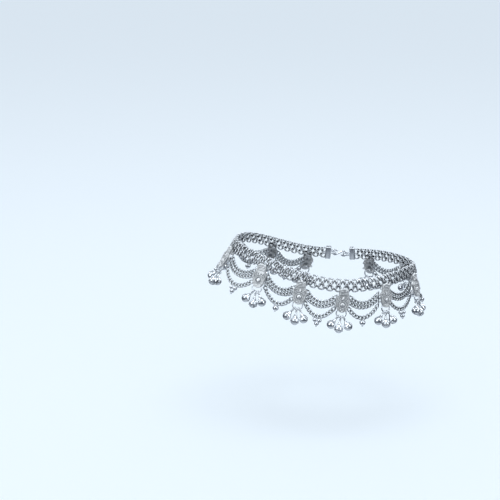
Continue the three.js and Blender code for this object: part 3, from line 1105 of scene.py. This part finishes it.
def ball_beads(chain_height):
    """Radius, x and y of a ball with a small neck and tip."""
    middle = chain_height - BALL_DROP
    return [
        (BALL_BEAD, 0, middle),
        (0.6, 0, middle + BALL_BEAD + 0.05),
        (0.45, 0, middle - BALL_BEAD - 0.15),
    ]


def make_drop(number):
    """The soldered drop under the middle of a bay: a trefoil and a ball by turns."""
    beads = trefoil_beads if number % 2 == 1 else ball_beads
    middle = motif_at(number) + PITCH / 2
    shape = Shape()
    for radius, x, y in beads(-LOWER_CHAIN["mid_drop"]):
        points, faces = ball(radius, (x, y, CHAIN_OUT), segments=24, rows=16)
        shape.add(set_at(middle, points), faces)
    make_piece(f"drop_{number:02d}", shape, BELLS, "bell_silver", f"swag_{number:02d}")


# ---------------------------------------------------------------- stage

VIEW_ELEVATION = math.radians(16)
VIEW_DISTANCE = 0.554
VIEW_AIM = (-0.0427, 0.0016, -0.0011)
VIEW_LENS = 70.0
FLOOR_BELOW = 0.061
FLOOR_HALF = 14.0
FLOOR_COLOUR = (0.9, 0.95, 0.98)
BACKGROUND = (0.695, 0.79, 0.878)
EVEN_LIGHT = (0.84, 0.9, 0.97)
LIGHT_COLOUR = (0.9, 0.96, 1.0)
LIGHT_DISTANCE = 1.0
# Four soft boxes round the anklet with dark gaps between them, and one overhead that also
# lights the floor.
SOFT_BOXES = {
    "front_left": {"azimuth": -50, "elevation": 24, "size": (0.6, 0.8), "radiance": 2.2},
    "front_right": {"azimuth": 54, "elevation": 20, "size": (0.5, 0.8), "radiance": 2.0},
    "back_left": {"azimuth": -130, "elevation": 26, "size": (0.55, 0.7), "radiance": 2.0},
    "back_right": {"azimuth": 132, "elevation": 26, "size": (0.55, 0.7), "radiance": 2.0},
    "overhead": {"azimuth": 0, "elevation": 80, "size": (0.7, 0.45), "radiance": 2.0},
}
FLOOR_LIGHT = "overhead"
# What the metal reflects, from straight down (0) to straight up (1).
ROOM_COLOURS = [
    (0.0, (0.5, 0.56, 0.62)),
    (0.12, (0.42, 0.47, 0.53)),
    (0.26, (0.11, 0.125, 0.15)),
    (0.6, (0.07, 0.082, 0.105)),
    (0.74, (0.3, 0.335, 0.37)),
    (1.0, (0.5, 0.55, 0.6)),
]


def make_camera():
    data = bpy.data.cameras.new("camera")
    data.lens = VIEW_LENS
    data.sensor_width = 36
    camera = bpy.data.objects.new("camera", data)
    back = np.array([0, -math.cos(VIEW_ELEVATION), math.sin(VIEW_ELEVATION)])
    camera.location = np.array(VIEW_AIM) + back * VIEW_DISTANCE
    camera.rotation_euler = (math.pi / 2 - VIEW_ELEVATION, 0, 0)
    bpy.context.scene.collection.objects.link(camera)
    bpy.context.scene.camera = camera


def make_floor():
    """A wide matte floor below the anklet, which the metal doesn't reflect."""
    level = cad_low.z - FLOOR_BELOW
    mesh = bpy.data.meshes.new("floor")
    signs = [(-1, -1), (1, -1), (1, 1), (-1, 1)]
    corners = [(x * FLOOR_HALF, y * FLOOR_HALF, level) for x, y in signs]
    mesh.from_pydata(corners, [], [(0, 1, 2, 3)])
    floor = bpy.data.objects.new("floor", mesh)
    bpy.context.scene.collection.objects.link(floor)
    material = bpy.data.materials.new("floor_paint")
    material.use_nodes = True
    shader = material.node_tree.nodes["Principled BSDF"]
    shader.inputs["Base Color"].default_value = (*FLOOR_COLOUR, 1)
    shader.inputs["Roughness"].default_value = 0.95
    shader.inputs["Specular IOR Level"].default_value = 0.0
    mesh.materials.append(material)
    floor.visible_glossy = False


def make_soft_box(name, azimuth, elevation, size, radiance):
    """A soft box that shines at the anklet with a given brightness."""
    data = bpy.data.lights.new(name, "AREA")
    data.shape = "RECTANGLE"
    data.size, data.size_y = size
    data.energy = radiance * math.pi * size[0] * size[1]
    data.color = LIGHT_COLOUR
    light = bpy.data.objects.new(name, data)
    turn, rise = math.radians(azimuth), math.radians(elevation)
    level = math.cos(rise)
    away = Vector((math.sin(turn) * level, -math.cos(turn) * level, math.sin(rise)))
    light.location = away * LIGHT_DISTANCE
    light.rotation_euler = away.to_track_quat("Z", "Y").to_euler()
    light.visible_camera = False
    light.visible_diffuse = name == FLOOR_LIGHT
    bpy.context.scene.collection.objects.link(light)


def plain_light(tree, colour):
    node = tree.nodes.new("ShaderNodeBackground")
    node.inputs["Color"].default_value = (*colour, 1)
    return node.outputs["Background"]


def room_light(tree):
    """The room's colour by height, for the metal."""
    place = tree.nodes.new("ShaderNodeTexCoord")
    split = tree.nodes.new("ShaderNodeSeparateXYZ")
    tree.links.new(place.outputs["Generated"], split.inputs["Vector"])
    height = tree.nodes.new("ShaderNodeMapRange")
    height.inputs["From Min"].default_value = -1
    tree.links.new(split.outputs["Z"], height.inputs["Value"])
    room = tree.nodes.new("ShaderNodeBackground")
    tree.links.new(ramp(tree, height.outputs["Result"], ROOM_COLOURS), room.inputs["Color"])
    return room.outputs["Background"]


def make_world():
    """A pale backdrop for the eye, even light for the floor, and a dim room for the metal."""
    studio = bpy.data.worlds.new("studio")
    bpy.context.scene.world = studio
    studio.use_nodes = True
    tree = studio.node_tree
    tree.nodes.clear()
    path = tree.nodes.new("ShaderNodeLightPath")
    shader = room_light(tree)
    for ray, colour in (("Is Diffuse Ray", EVEN_LIGHT), ("Is Camera Ray", BACKGROUND)):
        mix = tree.nodes.new("ShaderNodeMixShader")
        tree.links.new(path.outputs[ray], mix.inputs["Fac"])
        tree.links.new(shader, mix.inputs[1])
        tree.links.new(plain_light(tree, colour), mix.inputs[2])
        shader = mix.outputs["Shader"]
    output = tree.nodes.new("ShaderNodeOutputWorld")
    tree.links.new(shader, output.inputs["Surface"])


# ---------------------------------------------------------------- the anklet

make_camera()
make_floor()
for box_name, box in SOFT_BOXES.items():
    make_soft_box(box_name, **box)
make_world()
bpy.context.scene.view_settings.view_transform = "Standard"

clasp = motif_at(CLASP_BAY) + CLASP_BAY_LENGTH / 2
make_belt(clasp)
make_end_caps(clasp)
make_hook(clasp)
for motif in range(1, MOTIFS + 1):
    make_plaque(motif)
    make_hoop(motif)
    for seat_number, seat_name in enumerate(BELL_SEATS):
        make_bell(motif, seat_number, seat_name)
    if motif != CLASP_BAY:
        make_upper_swag(motif)
        make_lower_swag(motif)
        make_drop(motif)
